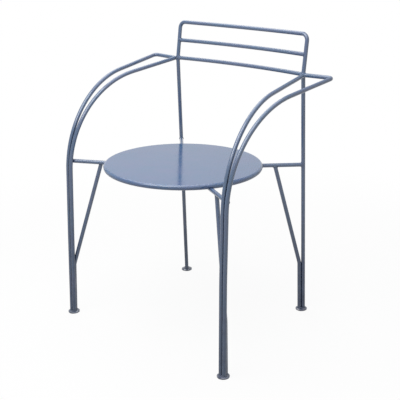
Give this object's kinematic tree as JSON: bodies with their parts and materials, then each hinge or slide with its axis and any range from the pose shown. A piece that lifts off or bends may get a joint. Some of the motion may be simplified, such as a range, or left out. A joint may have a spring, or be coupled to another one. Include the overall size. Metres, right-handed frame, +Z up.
{
  "type": "garden armchair",
  "caption": "Outdoor armchair welded from slim round steel bar, with a round flat seat, a low bowed bar back and looped arms that run down into the front legs.",
  "frame": {"origin": "on the floor, below the middle of the chair's box", "axes": "+Z up, the sitter faces -Y, +X is the sitter's left"},
  "size_m": [0.6038, 0.4513, 0.7552],
  "materials": {
    "seat_lacquer": "semi-gloss slate blue lacquer on pressed steel sheet",
    "bar_lacquer": "semi-gloss slate blue lacquer on round steel bar",
    "foot_lacquer": "semi-gloss slate blue lacquer on steel discs"
  },
  "bodies": {
    "root": {"seat_pan": "seat_lacquer", "back_frame": "bar_lacquer", "middle_back_bar": "bar_lacquer", "lower_back_bar": "bar_lacquer", "arm_left": "bar_lacquer", "arm_right": "bar_lacquer", "front_seat_bar_left": "bar_lacquer", "front_seat_bar_right": "bar_lacquer", "rear_seat_bar_left": "bar_lacquer", "rear_seat_bar_right": "bar_lacquer", "front_brace_left": "bar_lacquer", "front_brace_right": "bar_lacquer", "rear_brace_left": "bar_lacquer", "rear_brace_right": "bar_lacquer", "front_foot_left": "foot_lacquer", "front_foot_right": "foot_lacquer", "rear_foot_left": "foot_lacquer", "rear_foot_right": "foot_lacquer"}
  },
  "joints": []
}
